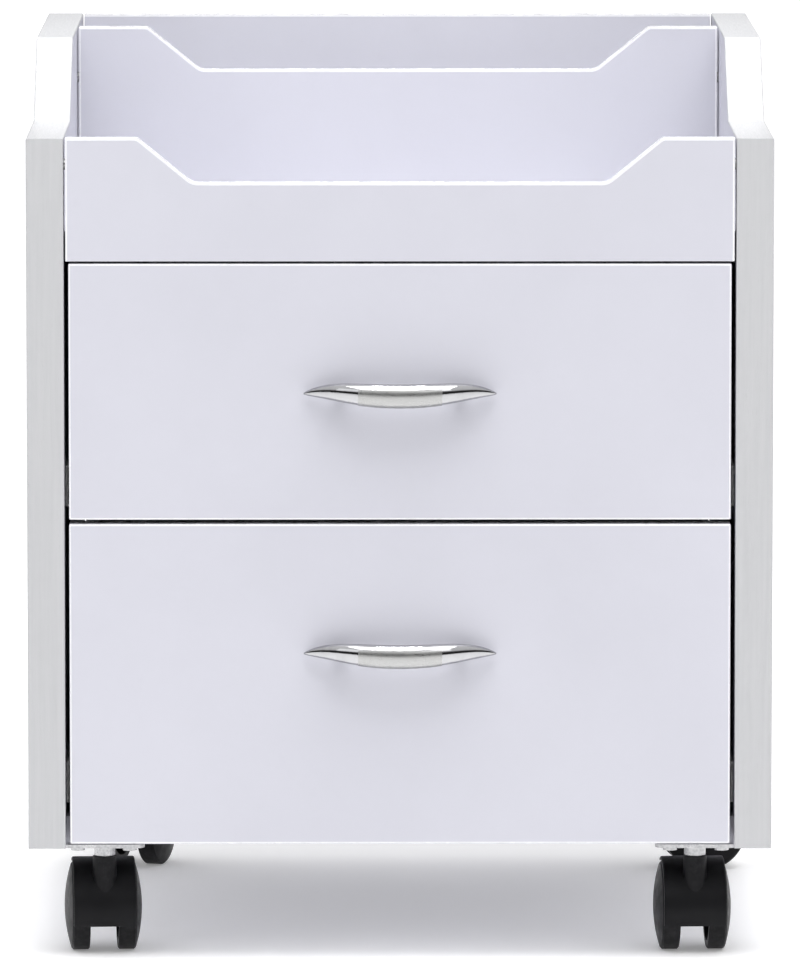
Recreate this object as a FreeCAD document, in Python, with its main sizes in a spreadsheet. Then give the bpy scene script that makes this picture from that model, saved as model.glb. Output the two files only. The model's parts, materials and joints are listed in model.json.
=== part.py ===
"""Rolling pedestal cabinet: a laminated carcass with an open two-part tray on top, two drawers
on roller runners and four twin-wheel plate casters.

Frame: +X to the right seen from the front, +Y to the back, +Z up, origin on the floor under the
middle of the whole outline (handles included). Millimetres.
"""
import FreeCAD, Part
import Sketcher
import math
import os
import re

DIMENSIONS = {
    # carcass: heights above the underside, depths behind the front plane
    "cabinet_width": 400,
    "cabinet_depth": 400,
    "side_bottom": 63,
    "cabinet_top": "=side_bottom + 425",
    "ledge_top": "=side_bottom + 383",
    "ledge_depth": 132,
    "slope_run": 56,
    "side_thick": 20,
    "board_thick": 15,
    "band_thick": 1,
    "band_round": 0.8,
    "trim_round": 0.4,
    "panel_gap": 1,
    "inner_half": "=cabinet_width/2 - side_thick",
    "slope_mitre": "=band_thick*tan(atan((cabinet_top - ledge_top)/slope_run)/2)",
    # tray
    "tray_bottom": "=side_bottom + 317.3",
    "tray_floor_up": "=tray_bottom + board_thick",
    "divider_depth": 272,
    "notch_depth": 24,
    "notch_top_half": 140.5,
    "notch_low_half": 111,
    "notch_top_radius": 4,
    "notch_low_radius": 9,
    "notch_mitre": "=band_thick*tan(atan(notch_depth/(notch_top_half - notch_low_half))/2)",
    # drawers
    "front_thick": 16,
    "front_half": 177.5,
    "upper_front_top": "=side_bottom + 316",
    "upper_front_low": "=side_bottom + 178.2",
    "lower_front_top": "=side_bottom + 175.8",
    "lower_front_low": "=side_bottom + 2.7",
    "front_round": 0.9,
    "bottom_setback": 2,
    "box_half": 167.5,
    "box_length": 350,
    "box_wall": 12,
    "box_bottom": 4,
    "groove_deep": 6,
    "groove_up": 8,
    "upper_box_low": "=side_bottom + 186",
    "upper_box_tall": 100,
    "lower_box_low": "=side_bottom + 25",
    "lower_box_tall": 130,
    # runners
    "rail_sheet": 1.2,
    "rail_tall": 22,
    "rail_wide": 10.5,
    "rail_setback": 24,
    "rail_drop": 3.2,
    "slider_up": 2,
    "flange_up": 17.2,
    "flange_reach": 8.5,
    "roller_radius": 7.5,
    "roller_bore": 2.05,
    "roller_wide": 6.5,
    "roller_inset": 170,
    "roller_pin": 2,
    "roller_pin_long": 9.6,
    "roller_head": 3,
    "roller_head_thick": 0.8,
    "roller_play": 0.1,
    "front_roller_up": 9.4,
    "rear_roller_up": 9,
    "roller_from_end": 10,
    # handles
    "handle_half": 51.5,
    "handle_reach": 22,
    "front_y": "=-(cabinet_depth - handle_reach)/2",
    "back_y": "=(cabinet_depth + handle_reach)/2",
    "handle_drop": 69.5,
    "handle_tall_half": 6.3,
    "handle_deep_half": 4.6,
    "handle_tip": 0.5,
    "handle_shoulder": 1.5,
    "tip_stand_off": 3,
    "post_half": 32,
    "post_radius": 3.6,
    "post_long": 11.2,
    "insert_half": 22.5,
    "insert_top": 3.4,
    "insert_low": 12,
    "insert_deep": 11.1,
    "insert_sunk": 1,
    "insert_proud": 0.25,
    "handle_screw": 2,
    "handle_screw_head": 4,
    "handle_screw_head_thick": 2,
    "handle_screw_deep": 7,
    # casters
    "front_caster_half": 160,
    "rear_caster_half": 156,
    "front_caster_inset": 37,
    "rear_caster_inset": 45,
    "front_left_swivel": 4,
    "front_right_swivel": 3,
    "rear_left_swivel": -17,
    "rear_right_swivel": -82,
    "plate_side": 44,
    "plate_thick": 2,
    "plate_low": "=side_bottom - plate_thick",
    "plate_round": 5,
    "plate_screw_half": 14,
    "plate_screw": 2,
    "plate_screw_head": 3.8,
    "plate_screw_head_thick": 2,
    "plate_screw_deep": 11,
    "stem_radius": 4,
    "stem_low": 31,
    "collar_radius": 5.8,
    "collar_low": "=side_bottom - 8.5",
    "swivel_gap": 0.05,
    "trail": 18,
    "wheel_radius": 24,
    "wheel_gap_half": 7.75,
    "wheel_hub_radius": 7,
    "wheel_hub_gap": 0.2,
    "wheel_shoulder": 1,
    "wheel_disc_in": 15,
    "wheel_rim_thick": 4.5,
    "wheel_rim_half": 17.5,
    "wheel_edge": 0.8,
    "wheel_dome_half": 21,
    "axle_radius": 3,
    "axle_half": 16.5,
    "axle_end_gap": 0.5,
    "hood_gap": 0.9,
    "hood_wall": 1.8,
    "hood_radius": "=wheel_radius + hood_gap + hood_wall",
    "hood_half": 17,
    "hood_round": 1,
    "hood_start": 160,
    "hood_end": 287.6,
    "web_half": 6.75,
    "hub_radius": 9,
    "boss_radius": 6.4,
    "boss_low": 28,
    "boss_top": "=collar_low - 0.7",
    "socket_low": "=stem_low - 0.4",
    # knock-down fittings
    "bolt_radius": 3,
    "bolt_into_side": 10,
    "cam_from_side": 34,
    "cam_radius": 7.5,
    "cam_deep": 12,
    "bottom_bolt_inset": 100,
    "floor_bolt_inset": 60,
    "front_bolt_up": 51.6,
    "divider_bolt_up": 79.4,
    "back_low_bolt_up": 80,
    "back_high_bolt_up": 280,
    "rail_screw_first": 50,
    "rail_screw_pitch": 135,
    "rail_screw": 1.75,
    "rail_screw_head": 3.4,
    "rail_screw_head_thick": 1,
    "rail_screw_deep": 11,
}

# lengths closer than this are the same, in mm
SAME = 0.01
SIDES = {"left": -1, "right": 1}
DRAWERS = ("upper", "lower")
# corner: side of the middle plane, place of the stem across and in depth, angle it stands at
CORNERS = {
    "front_left": (-1, "front_caster_half", "front_y + front_caster_inset", "front_left_swivel"),
    "front_right": (1, "front_caster_half", "front_y + front_caster_inset", "front_right_swivel"),
    "rear_left": (-1, "rear_caster_half", "back_y - rear_caster_inset", "rear_left_swivel"),
    "rear_right": (1, "rear_caster_half", "back_y - rear_caster_inset", "rear_right_swivel"),
}

doc = FreeCAD.newDocument("pedestal")
sheet = doc.addObject("Spreadsheet::Sheet", "dims")
nodes = {}


def fill_sheet():
    for row, (alias, value) in enumerate(DIMENSIONS.items(), 1):
        sheet.set(f"A{row}", alias)
        sheet.set(f"B{row}", str(value))
        sheet.setAlias(f"B{row}", alias)
    doc.recompute()


def linked(text):
    """An expression over the aliases, as the document needs it."""
    def prefix(match):
        word = match.group()
        return f"dims.{word}" if word in DIMENSIONS else word
    return re.sub(r"[a-z][a-z0-9_]*", prefix, text)


def bind(obj, **sizes):
    for name, text in sizes.items():
        obj.setExpression(name.replace("__", "."), linked(text))


def place(obj, x="0", y="0", z="0"):
    bind(obj, Placement__Base__x=x, Placement__Base__y=y, Placement__Base__z=z)
    return obj


def value(alias):
    return float(sheet.get(alias))


def node(obj, name):
    obj.Label = name
    nodes[name] = obj
    return obj


# ---- shape helpers -------------------------------------------------------------------------

def box(name, x, y, z, length, width, height):
    block = doc.addObject("Part::Box", name)
    bind(block, Length=length, Width=width, Height=height)
    return place(block, x, y, z)


AXIS_TURN = {
    "x": FreeCAD.Rotation(FreeCAD.Vector(0, 1, 0), 90),
    "y": FreeCAD.Rotation(FreeCAD.Vector(1, 0, 0), -90),
    "z": FreeCAD.Rotation(),
}


def cylinder(name, axis, x, y, z, radius, height):
    """A cylinder that starts at x, y, z and runs along +axis."""
    rod = doc.addObject("Part::Cylinder", name)
    rod.Placement = FreeCAD.Placement(FreeCAD.Vector(), AXIS_TURN[axis])
    bind(rod, Radius=radius, Height=height)
    return place(rod, x, y, z)


def together(kind, name, members):
    group = doc.addObject(kind, name)
    if kind == "Part::Compound":
        group.Links = members
    else:
        group.Shapes = members
    return group


def fuse(name, *members):
    return together("Part::MultiFuse", name, list(members))


def compound(name, members):
    return together("Part::Compound", name, members)


def cut(name, base, tools):
    result = doc.addObject("Part::Cut", name)
    result.Base = base
    result.Tool = tools[0] if len(tools) == 1 else compound(name + "_tools", tools)
    return result


def origin_plane(body, role):
    return next(item for item in body.Origin.OriginFeatures if item.Role == role)


def polygon_sketch(body, name, role, corners, arcs=()):
    """A closed outline whose corners are bound to the sheet; arcs lists the sides, by the index
    of their first corner, that are circular and centred on the sketch's horizontal axis."""
    sketch = body.newObject("Sketcher::SketchObject", name)
    sketch.AttachmentSupport = [(origin_plane(body, role), "")]
    sketch.MapMode = "FlatFace"
    count = len(corners)
    ring = [FreeCAD.Vector(50*math.cos(2*math.pi*i/count), 50*math.sin(2*math.pi*i/count), 0)
            for i in range(count)]
    for i, (u, v) in enumerate(corners):
        end = ring[(i + 1) % count]
        if i in arcs:
            middle = (ring[i] + end)*0.45
            sketch.addGeometry(Part.Arc(ring[i], middle, end), False)
        else:
            sketch.addGeometry(Part.LineSegment(ring[i], end), False)
    starts = {}
    ends = {}
    for i in range(count):
        flipped = i in arcs and sketch.getPoint(i, 1).distanceToPoint(ring[i]) > 1
        starts[i], ends[i] = (2, 1) if flipped else (1, 2)
    for i, (u, v) in enumerate(corners):
        following = (i + 1) % count
        sketch.addConstraint(Sketcher.Constraint("Coincident", i, ends[i], following, starts[following]))
        for kind, text in (("DistanceX", u), ("DistanceY", v)):
            start = sketch.getPoint(i, starts[i])
            now = start.x if kind == "DistanceX" else start.y
            index = sketch.addConstraint(Sketcher.Constraint(kind, -1, 1, i, starts[i], now))
            sketch.setExpression(f"Constraints[{index}]", linked(text))
        if i in arcs:
            sketch.addConstraint(Sketcher.Constraint("PointOnObject", i, 3, -1))
    return sketch


def padded(name, role, corners, length, rounds=()):
    """A body padded from a polygon. rounds holds (corner indices, radius): the edges that rise
    from those corners of the outline are filleted."""
    body = doc.addObject("PartDesign::Body", name)
    sketch = polygon_sketch(body, name + "_outline", role, corners)
    pad = body.newObject("PartDesign::Pad", name + "_pad")
    pad.Profile = sketch
    pad.Reversed = role == "XZ_Plane"
    bind(pad, Length=length)
    doc.recompute()
    base = pad
    for order, (indices, radius) in enumerate(rounds):
        base = rounded(body, base, f"{name}_round_{order}", sketch, indices, radius)
    return body


def rounded(body, base, name, sketch, indices, radius):
    spots = [sketch.Placement.multVec(sketch.getPoint(i, 1)) for i in indices]
    rise = sketch.Placement.Rotation.multVec(FreeCAD.Vector(0, 0, 1))
    picked = []
    for number, edge in enumerate(base.Shape.Edges, 1):
        ends = [vertex.Point for vertex in edge.Vertexes]
        if len(ends) != 2 or (ends[1] - ends[0]).cross(rise).Length > 1e-6:
            continue
        if any((ends[0] - spot).cross(rise).Length < 1e-4 for spot in spots):
            picked.append(f"Edge{number}")
    fillet = body.newObject("PartDesign::Fillet", name)
    fillet.Base = (base, picked)
    bind(fillet, Radius=radius)
    doc.recompute()
    return fillet


def edge_fillet(name, base, wanted, radius):
    """A Part fillet on the edges that wanted(edge) picks."""
    doc.recompute()
    size = value(radius)
    picked = [(number, size, size) for number, edge in enumerate(base.Shape.Edges, 1) if wanted(edge)]
    fillet = doc.addObject("Part::Fillet", name)
    fillet.Base = base
    fillet.Edges = picked
    return fillet


# ---- knock-down fittings -------------------------------------------------------------------

# joint name: (depth of the bolt, height of the bolt, face of the board that holds the cam)
FITTINGS = {
    "bottom_front": ("front_y + bottom_bolt_inset", "side_bottom + board_thick/2", "below"),
    "bottom_rear": ("back_y - bottom_bolt_inset", "side_bottom + board_thick/2", "below"),
    "floor_front": ("front_y + floor_bolt_inset", "tray_bottom + board_thick/2", "below"),
    "floor_rear": ("back_y - floor_bolt_inset", "tray_bottom + board_thick/2", "below"),
    "tray_front": ("front_y + board_thick/2", "tray_bottom + front_bolt_up", "behind"),
    "divider": ("front_y + divider_depth + board_thick/2", "tray_bottom + divider_bolt_up", "behind"),
    "back_low": ("back_y - board_thick/2", "side_bottom + back_low_bolt_up", "behind"),
    "back_high": ("back_y - board_thick/2", "side_bottom + back_high_bolt_up", "behind"),
}


def fitting_bolt(name, joint, side):
    depth, height, _ = FITTINGS[joint]
    low_end = "inner_half - cam_from_side" if side > 0 else "-inner_half - bolt_into_side"
    return cylinder(name, "x", low_end, depth, height, "bolt_radius", "bolt_into_side + cam_from_side")


def fitting_cam(name, joint, side):
    depth, height, face = FITTINGS[joint]
    x = f"{side}*(inner_half - cam_from_side)"
    if face == "below":
        return cylinder(name, "z", x, depth, f"{height} - board_thick/2", "cam_radius", "cam_deep")
    return cylinder(name, "y", x, f"{depth} + board_thick/2 - cam_deep", height, "cam_radius", "cam_deep")


def fitting_holes(owner, joints, sides=(-1, 1), cams=True):
    """The holes that a board needs for its bolts and, in the joined boards, for the cams."""
    holes = []
    for joint in joints:
        for side in sides:
            stem = f"{owner}_{joint}_{'r' if side > 0 else 'l'}"
            holes.append(fitting_bolt(stem + "_bolt_hole", joint, side))
            if cams:
                holes.append(fitting_cam(stem + "_cam_hole", joint, side))
    return holes


def fittings():
    bolts = []
    cams = []
    for joint in FITTINGS:
        for label, side in SIDES.items():
            stem = f"{joint}_{label}"
            bolts.append(fitting_bolt(stem + "_bolt", joint, side))
            slot = fitting_bolt(stem + "_cam_slot", joint, side)
            cams.append(cut(stem + "_cam", fitting_cam(stem + "_cam_body", joint, side), [slot]))
    node(compound("cam_bolts", bolts), "cam_bolts")
    node(compound("cam_locks", cams), "cam_locks")


# ---- carcass -------------------------------------------------------------------------------

def side_core(name, side):
    """A side panel without the edge band on its front and top edges."""
    corners = [
        ("band_thick", "side_bottom"),
        ("cabinet_depth", "side_bottom"),
        ("cabinet_depth", "cabinet_top - band_thick"),
        ("ledge_depth + slope_run + slope_mitre", "cabinet_top - band_thick"),
        ("ledge_depth + slope_mitre", "ledge_top - band_thick"),
        ("band_thick", "ledge_top - band_thick"),
    ]
    return side_place(padded(name, "YZ_Plane", corners, "side_thick"), side)


def side_place(body, side):
    return place(body, "-cabinet_width/2" if side < 0 else "inner_half", "front_y")


def side_panels():
    for label, side in SIDES.items():
        name = f"{label}_side_panel"
        holes = fitting_holes(name, FITTINGS, (side,), cams=False)
        holes += [rail_screw_shank(f"{name}_{stem}_hole", drawer, side, y)
                  for stem, drawer, y in rail_screw_places()]
        node(cut(name, side_core(name + "_board", side), holes), name)


def side_bands():
    """The strips on the front and top edges: a whole side with soft arrises, less its core."""
    outline = [
        ("0", "side_bottom"),
        ("cabinet_depth", "side_bottom"),
        ("cabinet_depth", "cabinet_top"),
        ("ledge_depth + slope_run", "cabinet_top"),
        ("ledge_depth", "ledge_top"),
        ("0", "ledge_top"),
    ]

    def long_edge(edge):
        bounds = edge.BoundBox
        along_side = bounds.XLength < SAME
        return along_side and bounds.ZMax > value("side_bottom") + 1 and bounds.YMin < value("back_y") - 1

    for label, side in SIDES.items():
        name = f"{label}_edge_band"
        whole = side_place(padded(name + "_whole", "YZ_Plane", outline, "side_thick"), side)
        soft = edge_fillet(name + "_soft", whole, long_edge, "band_round")
        node(cut(name, soft, [side_core(name + "_core", side)]), name)


def notched_profile(name, half, low, top, y, inset="0", mitre="0"):
    """A board with a wide notch in its top edge, smaller by the inset at the ends and the top."""
    side = f"{half} - {inset}"
    crest = f"{top} - {inset}"
    trough = f"{crest} - notch_depth"
    corners = [
        (f"-({side})", low),
        (side, low),
        (side, crest),
        (f"notch_top_half + {mitre}", crest),
        (f"notch_low_half + {mitre}", trough),
        (f"-notch_low_half - {mitre}", trough),
        (f"-notch_top_half - {mitre}", crest),
        (f"-({side})", crest),
    ]
    rounds = [((3, 6), f"notch_top_radius - {inset}"), ((4, 5), f"notch_low_radius + {inset}")]
    return place(padded(name, "XZ_Plane", corners, "board_thick", rounds), y=y)


def notched_board(panel, band, half, low, top, y, joint):
    """A notched panel, which becomes a node, and the band along its ends and top, returned."""
    core = notched_profile(panel + "_core", half, low, top, y, "band_thick", "notch_mitre")
    node(cut(panel, core, fitting_holes(panel, [joint])), panel)

    whole = notched_profile(band + "_whole", half, low, top, y)
    doc.recompute()
    foot = whole.Shape.BoundBox.ZMin

    def arris(edge):
        return edge.BoundBox.YLength < SAME and edge.BoundBox.ZMax > foot + 1

    soft = edge_fillet(band + "_soft", whole, arris, "trim_round")
    return cut(band, soft, [core, *fitting_holes(band, [joint], cams=False)])


def tray():
    snug = "(inner_half - panel_gap)"
    back_start = "back_y - board_thick"
    bands = [
        notched_board("tray_front_panel", "tray_front_band", snug, "tray_bottom", "ledge_top",
                      "front_y", "tray_front"),
        notched_board("tray_divider", "divider_band", snug, "tray_floor_up", "cabinet_top",
                      "front_y + divider_depth", "divider"),
        box("back_band", f"-{snug}", back_start, "cabinet_top - band_thick",
            f"2*{snug}", "board_thick", "band_thick"),
    ]
    node(compound("tray_edge_bands", bands), "tray_edge_bands")
    floor = box("tray_floor_board", "-inner_half", "front_y + board_thick", "tray_bottom",
                "2*inner_half", "cabinet_depth - 2*board_thick", "board_thick")
    node(cut("tray_floor", floor, fitting_holes("tray_floor", ["floor_front", "floor_rear"])), "tray_floor")


def back_panel():
    snug = "(inner_half - panel_gap)"
    board = box("back_board", f"-{snug}", "back_y - board_thick", "side_bottom",
                f"2*{snug}", "board_thick", "cabinet_top - band_thick - side_bottom")
    holes = fitting_holes("back_panel", ["back_low", "back_high"])
    node(cut("back_panel", board, holes), "back_panel")


def bottom_panel():
    start = "front_thick + bottom_setback"
    board = box("bottom_board", "-inner_half", f"front_y + {start}", "side_bottom",
                "2*inner_half", f"cabinet_depth - ({start}) - board_thick", "board_thick")
    holes = fitting_holes("bottom_panel", ["bottom_front", "bottom_rear"])
    for corner in CORNERS:
        for number, (x, y) in enumerate(plate_screw_places(corner)):
            holes.append(cylinder(f"bottom_{corner}_{number}", "z", x, y, "side_bottom",
                                  "plate_screw", "plate_screw_deep"))
    node(cut("bottom_panel", board, holes), "bottom_panel")


# ---- runners -------------------------------------------------------------------------------

def rail_low(drawer):
    return f"({drawer}_box_low - rail_drop)"


def rail_screw_places():
    for drawer in DRAWERS:
        for number in range(3):
            along = f"rail_screw_first + {number}*rail_screw_pitch"
            yield f"{drawer}_screw_{number}", drawer, f"front_y + rail_setback + {along}"


def rail_screw_shank(name, drawer, side, y):
    web = "(inner_half - rail_sheet)"
    low_end = web if side > 0 else f"-{web} - rail_screw_deep"
    return cylinder(name, "x", low_end, y, f"{rail_low(drawer)} + rail_tall/2",
                    "rail_screw", "rail_screw_deep")


def rail_screws():
    screws = []
    for label, side in SIDES.items():
        for stem, drawer, y in rail_screw_places():
            name = f"{label}_{stem}"
            shank = rail_screw_shank(name + "_shank", drawer, side, y)
            web = "(inner_half - rail_sheet)"
            low_end = f"{web} - rail_screw_head_thick" if side > 0 else f"-{web}"
            head = cylinder(name + "_head", "x", low_end, y, f"{rail_low(drawer)} + rail_tall/2",
                            "rail_screw_head", "rail_screw_head_thick")
            screws.append(fuse(name, shank, head))
    node(compound("rail_screws", screws), "rail_screws")


def across(side, near, wide):
    """The low x of a piece that starts near from the middle plane and is wide, on either side."""
    return f"{near}" if side > 0 else f"-({near}) - ({wide})"


def cabinet_rails(drawer):
    """The fixed member: a channel screwed to the side panel, with the pin of its front roller."""
    low = rail_low(drawer)
    start = "front_y + rail_setback"
    inner = "(inner_half - rail_wide)"
    web_in = "(inner_half - rail_sheet)"
    pair = []
    for label, side in SIDES.items():
        name = f"{label}_{drawer}_channel"
        web = box(name + "_web", across(side, web_in, "rail_sheet"), start, low,
                  "rail_sheet", "box_length", "rail_tall")
        flanges = [box(f"{name}_flange_{place_name}", across(side, inner, "rail_wide"), start, z,
                       "rail_wide", "box_length", "rail_sheet")
                   for place_name, z in (("low", low), ("high", f"{low} + rail_tall - rail_sheet"))]
        pin_y = f"{start} + roller_from_end"
        pin_z = f"{low} + front_roller_up"
        pin_long = f"{web_in} - roller_inset + roller_play"
        pin = cylinder(name + "_pin", "x", across(side, "roller_inset - roller_play", pin_long),
                       pin_y, pin_z, "roller_pin", pin_long)
        head = cylinder(name + "_pin_head", "x",
                        across(side, "roller_inset - roller_play - roller_head_thick", "roller_head_thick"),
                        pin_y, pin_z, "roller_head", "roller_head_thick")
        holes = [rail_screw_shank(f"{name}_{stem}_hole", drawer, side, y)
                 for stem, screw_drawer, y in rail_screw_places() if screw_drawer == drawer]
        pair.append(cut(name, fuse(name + "_whole", web, *flanges, pin, head), holes))
    node(compound(f"{drawer}_cabinet_rails", pair), f"{drawer}_cabinet_rails")


def drawer_rails(drawer):
    """The moving member: a Z section under and beside the drawer side, with its rear roller pin."""
    low = rail_low(drawer)
    start = "front_y + front_thick"
    pair = []
    for label, side in SIDES.items():
        name = f"{label}_{drawer}_slider"
        web = box(name + "_web", across(side, "box_half", "rail_sheet"), start, f"{low} + slider_up",
                  "rail_sheet", "box_length", "flange_up + rail_sheet - slider_up")
        under = box(name + "_under", across(side, "box_half - box_wall", "box_wall + rail_sheet"), start,
                    f"{low} + slider_up", "box_wall + rail_sheet", "box_length", "rail_sheet")
        over = box(name + "_over", across(side, "box_half", "rail_sheet + flange_reach"), start,
                   f"{low} + flange_up", "rail_sheet + flange_reach", "box_length", "rail_sheet")
        pin_y = f"{start} + box_length - roller_from_end"
        pin_z = f"{low} + rear_roller_up"
        pin = cylinder(name + "_pin", "x", across(side, "box_half", "roller_pin_long"), pin_y, pin_z,
                       "roller_pin", "roller_pin_long")
        head = cylinder(name + "_pin_head", "x",
                        across(side, "roller_inset + roller_wide + roller_play", "roller_head_thick"),
                        pin_y, pin_z, "roller_head", "roller_head_thick")
        pair.append(fuse(name, web, under, over, pin, head))
    node(compound(f"{drawer}_drawer_rails", pair), f"{drawer}_drawer_rails")


def rollers(drawer):
    places = {
        "front": ("front_y + rail_setback + roller_from_end", "front_roller_up"),
        "rear": ("front_y + front_thick + box_length - roller_from_end", "rear_roller_up"),
    }
    for end, (y, up) in places.items():
        pair = []
        for label, side in SIDES.items():
            name = f"{label}_{drawer}_{end}_roller"
            x = across(side, "roller_inset", "roller_wide")
            z = f"{rail_low(drawer)} + {up}"
            disc = cylinder(name + "_disc", "x", x, y, z, "roller_radius", "roller_wide")
            bore = cylinder(name + "_bore", "x", x, y, z, "roller_bore", "roller_wide")
            pair.append(cut(name, disc, [bore]))
        node(compound(f"{drawer}_{end}_rollers", pair), f"{drawer}_{end}_rollers")


# ---- drawers -------------------------------------------------------------------------------

def handle_height(drawer):
    return f"({drawer}_front_top - handle_drop)"


def handle_hole(name, drawer, side, y, radius, length):
    return cylinder(name, "y", f"{side}*post_half", y, handle_height(drawer), radius, length)


def drawer_front(drawer):
    low = f"{drawer}_front_low"
    tall = f"({drawer}_front_top - {drawer}_front_low)"
    board = box(f"{drawer}_front_board", "-front_half + band_thick", "front_y", f"{low} + band_thick",
                "2*(front_half - band_thick)", "front_thick", f"{tall} - 2*band_thick")
    holes = [handle_hole(f"{drawer}_front_hole_{label}", drawer, side, "front_y",
                         "handle_screw", "front_thick")
             for label, side in SIDES.items()]
    node(cut(f"{drawer}_drawer_front", board, holes), f"{drawer}_drawer_front")
    outer = box(f"{drawer}_band_outer", "-front_half", "front_y", low, "2*front_half", "front_thick", tall)
    face = value("front_y") + SAME
    soft = edge_fillet(f"{drawer}_band_soft", outer,
                       lambda edge: edge.BoundBox.YMax < face or edge.BoundBox.YLength > 1,
                       "front_round")
    inner = box(f"{drawer}_band_inner", "-front_half + band_thick", "front_y", f"{low} + band_thick",
                "2*(front_half - band_thick)", "front_thick", f"{tall} - 2*band_thick")
    node(cut(f"{drawer}_front_band", soft, [inner]), f"{drawer}_front_band")


def drawer_box(drawer):
    start = "front_y + front_thick"
    low = f"{drawer}_box_low"
    tall = f"{drawer}_box_tall"
    inner = "(box_half - box_wall)"
    bottom_size = (f"-{inner} - groove_deep", start, f"{low} + groove_up",
                   f"2*({inner} + groove_deep)", "box_length", "box_bottom")
    for label, side in SIDES.items():
        name = f"{drawer}_drawer_{label}_side"
        wall = box(name + "_board", across(side, inner, "box_wall"), start, low,
                   "box_wall", "box_length", tall)
        node(cut(name, wall, [box(name + "_groove", *bottom_size)]), name)
    node(box(f"{drawer}_drawer_bottom", *bottom_size), f"{drawer}_drawer_bottom")
    above = "groove_up + box_bottom"
    back = box(f"{drawer}_drawer_back", f"-{inner}", f"{start} + box_length - box_wall",
               f"{low} + {above}", f"2*{inner}", "box_wall", f"{tall} - ({above})")
    node(back, f"{drawer}_drawer_back")


def bow_arc():
    """Radius and half angle of the handle's centre line, a circular arc in plan."""
    half = DIMENSIONS["handle_half"]
    sagitta = DIMENSIONS["handle_reach"] - DIMENSIONS["handle_deep_half"] - DIMENSIONS["tip_stand_off"]
    radius = (half**2 + sagitta**2)/(2*sagitta)
    return radius, math.asin(half/radius)


def bow(name, drawer, grow, stations=17):
    """A loft of upright ellipses along the bow, pointed at both tips; grow thickens it. The ends
    of the middle part ride a little higher than the crown and the tips."""
    radius, half_angle = bow_arc()
    crown = DIMENSIONS["handle_reach"] - DIMENSIONS["handle_deep_half"]
    sections = []
    for number in range(stations):
        share = -1 + 2*number/(stations - 1)
        angle = share*half_angle
        fullness = max(0.0, 1 - abs(share)**2.6)**0.85
        ellipse = doc.addObject("Part::Ellipse", f"{name}_section_{number}")
        tall = f"handle_tip + (handle_tall_half - handle_tip)*{fullness:.4f}"
        deep = f"handle_tip*0.8 + (handle_deep_half - handle_tip*0.8)*{fullness:.4f}"
        swell = f" + {grow}*{max(fullness, 0.05):.4f}"
        bind(ellipse, MajorRadius=tall + swell, MinorRadius=deep + swell)
        turn = FreeCAD.Rotation(FreeCAD.Vector(0, 0, 1), math.degrees(angle))
        upright = FreeCAD.Rotation(FreeCAD.Vector(0, 1, 0), 90)
        ellipse.Placement = FreeCAD.Placement(FreeCAD.Vector(radius*math.sin(angle), 0, 0),
                                              turn.multiply(upright))
        inward = crown - radius*(1 - math.cos(angle))
        lift = math.sin(math.pi*share**2)
        bind(ellipse, Placement__Base__y=f"front_y - {inward:.4f}",
             Placement__Base__z=f"{handle_height(drawer)} + handle_shoulder*{lift:.4f}")
        sections.append(ellipse)
    loft = doc.addObject("Part::Loft", name)
    loft.Sections = sections
    loft.Solid = True
    loft.Ruled = False
    return loft


def insert_window(name, drawer):
    """The space that the centre insert takes up: the lower front of the bow."""
    return box(name, "-insert_half", "front_y - handle_reach - insert_proud",
               f"{handle_height(drawer)} - insert_low", "2*insert_half",
               "insert_deep", "insert_low + insert_top")


def handle(drawer):
    name = f"{drawer}_handle"
    posts = [handle_hole(f"{name}_post_{label}", drawer, side, "front_y - post_long",
                         "post_radius", "post_long")
             for label, side in SIDES.items()]
    screws = [handle_hole(f"{name}_thread_{label}", drawer, side, "front_y - handle_screw_deep",
                          "handle_screw", "handle_screw_deep")
              for label, side in SIDES.items()]
    core = bow(name + "_core", drawer, "(-insert_sunk)")
    recess = cut(name + "_recess", insert_window(name + "_window", drawer), [core])
    body = fuse(name + "_whole", bow(name + "_bow", drawer, "0"), *posts)
    node(cut(name, body, [recess, *screws]), name)
    proud = doc.addObject("Part::Common", name + "_insert_block")
    proud.Base = bow(name + "_proud", drawer, "insert_proud")
    proud.Tool = insert_window(name + "_insert_window", drawer)
    inner = bow(name + "_insert_core", drawer, "(-insert_sunk)")
    node(cut(name + "_insert", proud, [inner]), name + "_insert")
    bolts = []
    for label, side in SIDES.items():
        shank = handle_hole(f"{name}_shank_{label}", drawer, side, "front_y - handle_screw_deep",
                            "handle_screw", "front_thick + handle_screw_deep")
        head = handle_hole(f"{name}_head_{label}", drawer, side, "front_y + front_thick",
                           "handle_screw_head", "handle_screw_head_thick")
        bolts.append(fuse(f"{name}_screw_{label}", shank, head))
    node(compound(name + "_screws", bolts), name + "_screws")


# ---- casters -------------------------------------------------------------------------------

def corner_place(obj, corner, x="0", y="0", z="0"):
    """Moves an object from the caster's own frame, with the stem on Z, to its corner."""
    side, half, stem_y, swivel = CORNERS[corner]
    turn = FreeCAD.Rotation(FreeCAD.Vector(0, 0, 1), value(swivel))
    obj.Placement = FreeCAD.Placement(FreeCAD.Vector(), turn.multiply(obj.Placement.Rotation))
    return place(obj, f"{side}*{half} + ({x})*cos({swivel}*1deg) - ({y})*sin({swivel}*1deg)",
                 f"{stem_y} + ({x})*sin({swivel}*1deg) + ({y})*cos({swivel}*1deg)", z)


def plate_screw_places(corner):
    side, half, stem_y, _ = CORNERS[corner]
    for across_sign in (-1, 1):
        for along_sign in (-1, 1):
            yield (f"{side}*{half} + {across_sign}*plate_screw_half",
                   f"{stem_y} + {along_sign}*plate_screw_half")


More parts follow.
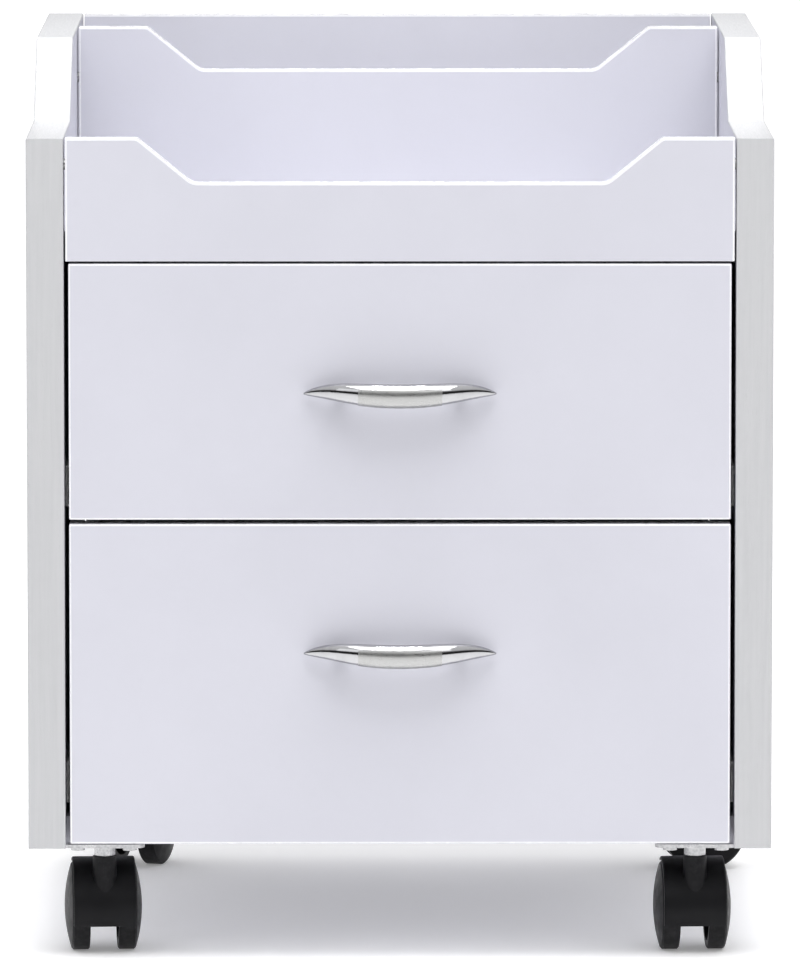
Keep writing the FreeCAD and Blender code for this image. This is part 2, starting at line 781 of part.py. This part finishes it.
def caster_mounts():
    plates = []
    stems = []
    screws = []
    for corner, (side, half, stem_y, _) in CORNERS.items():
        x = f"{side}*{half}"
        sheet_box = box(f"{corner}_plate_box", f"{x} - plate_side/2", f"{stem_y} - plate_side/2",
                        "plate_low", "plate_side", "plate_side", "plate_thick")
        soft = edge_fillet(f"{corner}_plate_soft", sheet_box,
                           lambda edge: abs(edge.BoundBox.ZLength - value("plate_thick")) < SAME,
                           "plate_round")
        holes = [cylinder(f"{corner}_plate_hole_{number}", "z", sx, sy, "plate_low",
                          "plate_screw", "plate_thick")
                 for number, (sx, sy) in enumerate(plate_screw_places(corner))]
        holes.append(cylinder(f"{corner}_plate_eye", "z", x, stem_y, "plate_low",
                              "stem_radius", "plate_thick"))
        plates.append(cut(f"{corner}_plate", soft, holes))
        pin = cylinder(f"{corner}_stem_pin", "z", x, stem_y, "stem_low", "stem_radius",
                       "side_bottom - stem_low")
        collar = cylinder(f"{corner}_stem_collar", "z", x, stem_y, "collar_low", "collar_radius",
                          "plate_low - collar_low")
        stems.append(fuse(f"{corner}_stem", pin, collar))
        for number, (sx, sy) in enumerate(plate_screw_places(corner)):
            shank = cylinder(f"{corner}_screw_shank_{number}", "z", sx, sy, "plate_low",
                             "plate_screw", "plate_thick + plate_screw_deep")
            head = cylinder(f"{corner}_screw_head_{number}", "z", sx, sy,
                            "plate_low - plate_screw_head_thick",
                            "plate_screw_head", "plate_screw_head_thick")
            screws.append(fuse(f"{corner}_screw_{number}", shank, head))
    node(compound("caster_plates", plates), "caster_plates")
    node(compound("caster_stems", stems), "caster_stems")
    node(compound("caster_screws", screws), "caster_screws")


def sector(name, radius, half, start, sweep):
    """Part of a disc about the axle, in the caster's own frame."""
    disc = doc.addObject("Part::Cylinder", name)
    roll = FreeCAD.Rotation(FreeCAD.Vector(0, 0, 1), start)
    disc.Placement = FreeCAD.Placement(FreeCAD.Vector(), AXIS_TURN["x"].multiply(roll))
    bind(disc, Radius=radius, Height=f"2*{half}", Angle=sweep)
    return place(disc, f"-{half}", "trail", "wheel_radius")


def caster_hood(corner):
    """The fender over both wheels, the web between them, and the socket for the stem."""
    name = f"{corner}_caster_hood"
    sweep = "hood_end - hood_start"
    outer = sector(name + "_outer", "hood_radius", "hood_half", value("hood_start"), sweep)
    clear = sector(name + "_clear", "wheel_radius + hood_gap", "hood_half", 0, "360")
    fender = cut(name + "_fender", outer, [clear])

    def outer_arc(edge):
        return hasattr(edge.Curve, "Radius") and abs(edge.Curve.Radius - value("hood_radius")) < SAME

    soft = edge_fillet(name + "_fender_soft", fender, outer_arc, "hood_round")
    web = sector(name + "_web", "hood_radius - hood_wall/2", "web_half", value("hood_start"), sweep)
    hub = cylinder(name + "_hub", "x", "-web_half", "trail", "wheel_radius", "hub_radius", "2*web_half")
    boss = cylinder(name + "_boss", "z", "0", "0", "boss_low", "boss_radius", "boss_top - boss_low")
    holes = [
        cylinder(name + "_socket", "z", "0", "0", "socket_low", "stem_radius + swivel_gap", "side_bottom"),
        cylinder(name + "_axle_bore", "x", "-web_half", "trail", "wheel_radius", "axle_radius", "2*web_half"),
    ]
    node(corner_place(cut(name, fuse(name + "_whole", soft, web, hub, boss), holes), corner), name)


def caster_axle(corner):
    name = f"{corner}_caster_axle"
    rod = cylinder(name, "x", "0", "0", "0", "axle_radius", "2*axle_half")
    node(corner_place(rod, corner, "-axle_half", "trail", "wheel_radius"), name)


def caster_wheel(corner, label, side):
    """A hollow wheel with a plain tread and a domed outer face, turned about the axle."""
    name = f"{corner}_{label}_wheel"
    section = [
        ("wheel_gap_half + wheel_hub_gap", "axle_radius + swivel_gap"),
        ("wheel_gap_half + wheel_hub_gap", "wheel_hub_radius"),
        ("wheel_disc_in", "wheel_hub_radius"),
        ("wheel_disc_in", "wheel_radius - wheel_rim_thick"),
        ("wheel_gap_half", "wheel_radius - wheel_rim_thick"),
        ("wheel_gap_half", "wheel_radius - wheel_edge"),
        ("wheel_gap_half + wheel_edge", "wheel_radius"),
        ("wheel_rim_half - wheel_shoulder", "wheel_radius"),
        ("wheel_rim_half", "wheel_radius - wheel_shoulder"),
        ("wheel_dome_half", "0"),
        ("axle_half + axle_end_gap", "0"),
        ("axle_half + axle_end_gap", "axle_radius + swivel_gap"),
    ]
    body = doc.addObject("PartDesign::Body", name)
    sketch = polygon_sketch(body, name + "_section", "XY_Plane", section, arcs=(8,))
    turned = body.newObject("PartDesign::Revolution", name + "_turned")
    turned.Profile = sketch
    turned.ReferenceAxis = (sketch, ["H_Axis"])
    turned.Angle = 360
    doc.recompute()
    if side < 0:
        body.Placement = FreeCAD.Placement(FreeCAD.Vector(), FreeCAD.Rotation(FreeCAD.Vector(0, 0, 1), 180))
    node(corner_place(body, corner, "0", "trail", "wheel_radius"), name)


def casters():
    caster_mounts()
    for corner in CORNERS:
        caster_hood(corner)
        caster_axle(corner)
        for label, side in SIDES.items():
            caster_wheel(corner, label, side)


# ---- assembly and export -------------------------------------------------------------------

def write_parts():
    doc.recompute()
    for obj in doc.Objects:
        if "Invalid" in obj.State or "Error" in obj.State:
            raise RuntimeError(f"{obj.Name} did not compute: {obj.State}")
    for name, obj in nodes.items():
        if obj.Shape.isNull() or not obj.Shape.isValid() or not obj.Shape.Solids:
            raise RuntimeError(f"{name} has no valid shape")
    os.makedirs("parts", exist_ok=True)
    for name, obj in nodes.items():
        obj.Shape.exportStep(f"parts/{name}.step")


def main():
    fill_sheet()
    side_panels()
    side_bands()
    tray()
    back_panel()
    bottom_panel()
    fittings()
    rail_screws()
    for drawer in DRAWERS:
        cabinet_rails(drawer)
        drawer_rails(drawer)
        rollers(drawer)
        drawer_front(drawer)
        drawer_box(drawer)
        handle(drawer)
    casters()
    write_parts()
    print(len(nodes), "nodes")


main()
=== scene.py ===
import json
import math

import bpy
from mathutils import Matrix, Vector


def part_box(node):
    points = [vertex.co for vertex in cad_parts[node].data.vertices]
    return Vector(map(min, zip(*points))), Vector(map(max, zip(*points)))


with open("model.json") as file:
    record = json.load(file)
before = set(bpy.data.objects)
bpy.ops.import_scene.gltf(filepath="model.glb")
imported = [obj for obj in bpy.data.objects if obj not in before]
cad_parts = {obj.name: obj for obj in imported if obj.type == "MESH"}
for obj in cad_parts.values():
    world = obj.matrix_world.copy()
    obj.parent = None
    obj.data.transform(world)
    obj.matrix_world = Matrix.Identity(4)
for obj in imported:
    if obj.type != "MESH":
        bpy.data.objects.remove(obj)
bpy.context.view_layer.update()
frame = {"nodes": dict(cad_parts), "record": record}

RECORD = frame["record"]
NODES = frame["nodes"]
SLOT_OF = {part["node"]: part["material_slot"] for part in RECORD["subparts"]}


# ---- material helpers ----------------------------------------------------------------------

class Shader:
    """A principled material with short calls for its nodes."""

    def __init__(self, name, base, roughness, metallic=0.0, specular=0.5):
        self.material = bpy.data.materials.new(name)
        self.material.use_nodes = True
        self.tree = self.material.node_tree
        self.bsdf = self.tree.nodes["Principled BSDF"]
        self.bsdf.inputs["Base Color"].default_value = (*base, 1)
        self.bsdf.inputs["Roughness"].default_value = roughness
        self.bsdf.inputs["Metallic"].default_value = metallic
        self.bsdf.inputs["Specular IOR Level"].default_value = specular
        self.place = self.add("ShaderNodeTexCoord").outputs["Object"]

    def add(self, kind, **settings):
        made = self.tree.nodes.new(kind)
        for key, value in settings.items():
            setattr(made, key, value)
        return made

    def link(self, source, target):
        self.tree.links.new(source, target)

    def scaled(self, scale, source=None):
        """The object's place, in metres, times scale per axis."""
        mapping = self.add("ShaderNodeMapping")
        mapping.inputs["Scale"].default_value = scale
        self.link(source or self.place, mapping.inputs["Vector"])
        return mapping.outputs["Vector"]

    def noise(self, scale, detail=4.0, rough=0.5, vector=None):
        made = self.add("ShaderNodeTexNoise")
        made.inputs["Scale"].default_value = scale
        made.inputs["Detail"].default_value = detail
        made.inputs["Roughness"].default_value = rough
        self.link(vector or self.place, made.inputs["Vector"])
        return made.outputs["Fac"]

    def span(self, source, low, high, start=0.3, end=0.7):
        """Maps source from start..end onto low..high, held at both ends."""
        made = self.add("ShaderNodeMapRange")
        for key, value in (("From Min", start), ("From Max", end), ("To Min", low), ("To Max", high)):
            made.inputs[key].default_value = value
        self.link(source, made.inputs["Value"])
        return made.outputs["Result"]

    def blend(self, factor, first, second):
        made = self.add("ShaderNodeMix", data_type="RGBA")
        self.link(factor, made.inputs["Factor"])
        for key, value in (("A", first), ("B", second)):
            socket = [s for s in made.inputs if s.name == key and s.type == "RGBA"][0]
            if isinstance(value, tuple):
                socket.default_value = (*value, 1)
            else:
                self.link(value, socket)
        return [s for s in made.outputs if s.type == "RGBA"][0]

    def math(self, operation, first, second=None):
        made = self.add("ShaderNodeMath", operation=operation)
        for index, value in enumerate((first, second)):
            if value is None:
                continue
            if isinstance(value, (int, float)):
                made.inputs[index].default_value = value
            else:
                self.link(value, made.inputs[index])
        return made.outputs["Value"]

    def bumps(self, *layers):
        """Stacks bumps: each layer is (height, depth in metres)."""
        previous = None
        for height, depth in layers:
            made = self.add("ShaderNodeBump")
            made.inputs["Distance"].default_value = depth
            made.inputs["Strength"].default_value = 1.0
            self.link(height, made.inputs["Height"])
            if previous:
                self.link(previous, made.inputs["Normal"])
            previous = made.outputs["Normal"]
        self.link(previous, self.bsdf.inputs["Normal"])

    def colour(self, source):
        self.link(source, self.bsdf.inputs["Base Color"])

    def rough(self, source):
        self.link(source, self.bsdf.inputs["Roughness"])

    def edges(self, low=0.52, high=0.60):
        """1 along outer edges, 0 on flat faces."""
        geometry = self.add("ShaderNodeNewGeometry")
        return self.span(geometry.outputs["Pointiness"], 0.0, 1.0, low, high)


# ---- materials -----------------------------------------------------------------------------

def laminate(name="laminate", base=(0.500, 0.500, 0.552), pearl=0.00001):
    """Melamine film pressed on board: a fine pearl surface with faint clouding and dust."""
    look = Shader(name, base, 0.42)
    cloud = look.noise(9, 5, 0.55)
    pale = tuple(min(1.0, part*1.025) for part in base)
    dull = tuple(part*0.972 for part in base)
    tinted = look.blend(look.span(cloud, 0, 1), dull, pale)
    grime = look.span(look.noise(60, 6, 0.7), 0, 0.35, 0.62, 0.8)
    look.colour(look.blend(grime, tinted, tuple(part*0.93 for part in base)))
    look.rough(look.span(look.noise(35, 4, 0.6), 0.36, 0.48))
    look.bumps((look.noise(1500, 3, 0.5), pearl), (look.noise(260, 2, 0.5), 0.00003))
    return look.material


def edge_band():
    """Thick edge band embossed with a long wood grain that follows the edge."""
    look = Shader("edge_band", (0.485, 0.49, 0.515), 0.42)
    split = look.add("ShaderNodeSeparateXYZ")
    look.link(look.place, split.inputs["Vector"])
    along = look.math("ADD", split.outputs["Y"], split.outputs["Z"])
    join = look.add("ShaderNodeCombineXYZ")
    look.link(split.outputs["X"], join.inputs["X"])
    look.link(along, join.inputs["Y"])
    flat = join.outputs["Vector"]
    warp = look.noise(14, 3, 0.5, flat)
    shifted = look.add("ShaderNodeVectorMath", operation="MULTIPLY_ADD")
    look.link(warp, shifted.inputs[0])
    shifted.inputs[1].default_value = (0.004, 0.0, 0.0)
    look.link(flat, shifted.inputs[2])
    bent = shifted.outputs["Vector"]
    fibre = look.noise(1.0, 4, 0.6, look.scaled((1500, 55, 1), bent))
    pores = look.noise(1.0, 3, 0.7, look.scaled((2600, 120, 1), bent))
    streak = look.noise(1.0, 3, 0.5, look.scaled((500, 14, 1), bent))
    pore_line = look.span(pores, 0, 1, 0.56, 0.70)
    base = look.blend(look.span(streak, 0, 1), (0.425, 0.428, 0.438), (0.450, 0.452, 0.462))
    look.colour(look.blend(look.math("MULTIPLY", pore_line, 0.3), base, (0.43, 0.43, 0.445)))
    look.rough(look.span(fibre, 0.34, 0.5))
    height = look.math("SUBTRACT", look.math("ADD", fibre, look.math("MULTIPLY", streak, 0.6)),
                       look.math("MULTIPLY", pore_line, 0.7))
    look.bumps((height, 0.00005))
    return look.material


def thin_band():
    """Smooth thin edge band, a little glossier and paler than the film beside it, with a painted highlight
    along its outer edges.
    """
    look = Shader("thin_band", (0.62, 0.62, 0.66), 0.3)
    # painted highlight: the band's colour is lifted to a paler grey along its outer edges
    painted_edge_highlight = look.edges()
    tint = look.blend(look.span(look.noise(40, 4, 0.6), 0, 1), (0.62, 0.62, 0.65), (0.67, 0.67, 0.70))
    look.colour(look.blend(painted_edge_highlight, tint, (0.74, 0.74, 0.76)))
    look.rough(look.span(look.noise(120, 3, 0.6), 0.2, 0.34))
    look.bumps((look.noise(900, 3, 0.5), 0.00001))
    return look.material


def drawer_liner():
    return laminate("drawer_liner", (0.78, 0.78, 0.80), 0.00003)


def runner_steel():
    """White epoxy powder coat, chipped a little at the edges."""
    look = Shader("runner_steel", (0.80, 0.80, 0.80), 0.4)
    chips = look.math("MULTIPLY", look.edges(0.54, 0.62), look.span(look.noise(300, 5, 0.7), 0, 1, 0.5, 0.62))
    coat = look.blend(look.span(look.noise(25, 4, 0.6), 0, 1), (0.76, 0.76, 0.765), (0.83, 0.83, 0.83))
    look.colour(look.blend(chips, coat, (0.42, 0.42, 0.43)))
    look.rough(look.span(look.noise(90, 4, 0.6), 0.34, 0.52))
    look.bumps((look.noise(700, 2, 0.5), 0.00004))
    return look.material


def roller_nylon():
    look = Shader("roller_nylon", (0.82, 0.82, 0.79), 0.36)
    look.bsdf.inputs["Subsurface Weight"].default_value = 0.15
    look.bsdf.inputs["Subsurface Scale"].default_value = 0.002
    look.colour(look.blend(look.span(look.noise(150, 4, 0.6), 0, 1), (0.76, 0.76, 0.72), (0.85, 0.85, 0.82)))
    look.rough(look.span(look.noise(400, 3, 0.6), 0.3, 0.5))
    look.bumps((look.noise(900, 2, 0.5), 0.00002))
    return look.material


def chrome():
    """Bright plate with the faintest orange peel and finger haze."""
    look = Shader("chrome", (0.60, 0.60, 0.61), 0.06, 1.0)
    haze = look.span(look.noise(130, 5, 0.6), 0, 1, 0.45, 0.75)
    look.colour(look.blend(haze, (0.43, 0.43, 0.44), (0.38, 0.38, 0.39)))
    look.rough(look.span(haze, 0.05, 0.10, 0, 1))
    look.bumps((look.noise(60, 2, 0.5), 0.000002))
    return look.material


def satin_chrome():
    """Satin plate with fine brushing along the handle."""
    look = Shader("satin_chrome", (0.38, 0.38, 0.375), 0.3, 1.0)
    brush = look.noise(1.0, 4, 0.6, look.scaled((60, 3200, 3200)))
    look.colour(look.blend(look.span(brush, 0, 1), (0.35, 0.35, 0.345), (0.41, 0.41, 0.405)))
    look.rough(look.span(brush, 0.24, 0.38))
    look.bumps((brush, 0.000004))
    return look.material


def zinc_steel():
    """Bright zinc plate with soft crystals."""
    look = Shader("zinc_steel", (0.42, 0.42, 0.43), 0.3, 0.9)
    crystal = look.add("ShaderNodeTexVoronoi")
    crystal.inputs["Scale"].default_value = 700
    look.link(look.place, crystal.inputs["Vector"])
    tone = look.span(crystal.outputs["Distance"], 0, 1, 0.0, 0.8)
    look.colour(look.blend(tone, (0.34, 0.34, 0.35), (0.50, 0.50, 0.505)))
    look.rough(look.span(look.noise(200, 4, 0.6), 0.22, 0.42))
    look.bumps((look.noise(600, 3, 0.6), 0.00002))
    return look.material


def caster_nylon():
    """Black moulded nylon: fine spark texture, paler on the outer edges from scuffs and a painted edge
    highlight.
    """
    look = Shader("caster_nylon", (0.005, 0.005, 0.006), 0.42, specular=0.14)
    # partly scuffs, partly painted highlight: the outer edges are painted paler in noisy patches
    scuff_and_edge_highlight = look.math("MULTIPLY", look.edges(0.515, 0.60),
                      look.span(look.noise(260, 5, 0.7), 0, 1, 0.42, 0.7))
    body = look.blend(look.span(look.noise(45, 4, 0.6), 0, 1), (0.004, 0.004, 0.005), (0.007, 0.007, 0.008))
    look.colour(look.blend(scuff_and_edge_highlight, body, (0.022, 0.021, 0.023)))
    look.rough(look.span(look.noise(170, 4, 0.6), 0.36, 0.52))
    look.bumps((look.noise(1800, 3, 0.6), 0.00003))
    return look.material


MATERIALS = {
    "laminate": laminate(),
    "edge_band": edge_band(),
    "thin_band": thin_band(),
    "drawer_liner": drawer_liner(),
    "runner_steel": runner_steel(),
    "roller_nylon": roller_nylon(),
    "chrome": chrome(),
    "satin_chrome": satin_chrome(),
    "zinc_steel": zinc_steel(),
    "caster_nylon": caster_nylon(),
}


def dress_nodes():
    for name, obj in NODES.items():
        obj.data.materials.clear()
        obj.data.materials.append(MATERIALS[SLOT_OF[name]])


# ---- floor, light and camera ---------------------------------------------------------------

FRONT_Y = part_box("upper_front_band")[0].y
FLOOR_SIDE = 12
FLOOR_GLOW = 0.22
# sky: place from straight down, 0, to straight up, 1, and the grey level there
SKY = [(0.0, 1.6), (0.5, 1.6), (0.501, 0.03), (0.64, 0.05), (0.72, 1.2), (1.0, 1.5)]
SKY_STRENGTH = 0.75
SKY_BLUE = 1.01
MIDDLE = (0, 0, 0.25)
CAMERA_LEFT = 0.021
CAMERA_AWAY = 5.3
CAMERA_HEIGHT = 0.846
AIM_HEIGHT = 0.2621
FRAME_TALL = 0.5158
SENSOR = 36


def floor():
    bpy.ops.mesh.primitive_plane_add(size=FLOOR_SIDE, location=(0, 0, 0))
    ground = bpy.context.object
    ground.name = "floor"
    look = Shader("floor", (0.93, 0.93, 0.93), 0.7)
    look.colour(look.blend(look.span(look.noise(3, 4, 0.5), 0, 1), (0.93, 0.93, 0.93), (0.95, 0.95, 0.95)))
    look.bsdf.inputs["Emission Color"].default_value = (1, 1, 1, 1)
    look.bsdf.inputs["Emission Strength"].default_value = FLOOR_GLOW
    ground.data.materials.append(look.material)


def soft_light(name, place, aim, size, power, colour=(1, 1, 1), spread=180):
    data = bpy.data.lights.new(name, "AREA")
    data.shape = "RECTANGLE"
    data.size, data.size_y = size
    data.energy = power
    data.spread = math.radians(spread)
    data.color = colour
    lamp = bpy.data.objects.new(name, data)
    lamp.location = place
    lamp.rotation_euler = (Vector(aim) - Vector(place)).to_track_quat("-Z", "Y").to_euler()
    bpy.context.scene.collection.objects.link(lamp)


def studio():
    world = bpy.data.worlds.new("studio")
    bpy.context.scene.world = world
    world.use_nodes = True
    tree = world.node_tree
    background = tree.nodes["Background"]
    coord = tree.nodes.new("ShaderNodeTexCoord")
    split = tree.nodes.new("ShaderNodeSeparateXYZ")
    ramp = tree.nodes.new("ShaderNodeValToRGB")
    shift = tree.nodes.new("ShaderNodeMapRange")
    shift.inputs["From Min"].default_value = -1
    shift.inputs["From Max"].default_value = 1
    tree.links.new(coord.outputs["Generated"], split.inputs["Vector"])
    tree.links.new(split.outputs["Z"], shift.inputs["Value"])
    tree.links.new(shift.outputs["Result"], ramp.inputs["Fac"])
    band = ramp.color_ramp
    while len(band.elements) < len(SKY):
        band.elements.new(0.5)
    for element, (position, level) in zip(band.elements, SKY):
        element.position = position
        element.color = (level, level, level*SKY_BLUE, 1)
    tree.links.new(ramp.outputs["Color"], background.inputs["Color"])
    background.inputs["Strength"].default_value = SKY_STRENGTH
    soft_light("key", (1.3, -2.8, 2.4), MIDDLE, (1.4, 1.0), 6)
    soft_light("fill", (-1.9, -2.6, 2.0), MIDDLE, (1.4, 1.4), 4, (0.98, 0.99, 1.0))
    soft_light("top", (0.1, -1.1, 2.6), (0, 0, 0.4), (2.4, 1.6), 58)
    soft_light("tray", (0.0, -0.13, 1.35), (0, 0.04, 0.42), (0.25, 0.08), 0.9, spread=60)
    bpy.context.scene.view_settings.view_transform = "Standard"


def camera():
    """A long lens, a little left of the middle and slightly above the cabinet."""
    data = bpy.data.cameras.new("camera")
    eye = Vector((-CAMERA_LEFT, FRONT_Y - CAMERA_AWAY, CAMERA_HEIGHT))
    aim = Vector((0.0, FRONT_Y, AIM_HEIGHT))
    distance = (aim - eye).length
    data.sensor_width = SENSOR
    data.lens = SENSOR*distance/FRAME_TALL
    data.clip_end = 50
    lens = bpy.data.objects.new("camera", data)
    lens.location = eye
    lens.rotation_euler = (aim - eye).to_track_quat("-Z", "Y").to_euler()
    bpy.context.scene.collection.objects.link(lens)
    bpy.context.scene.camera = lens


dress_nodes()
floor()
studio()
camera()
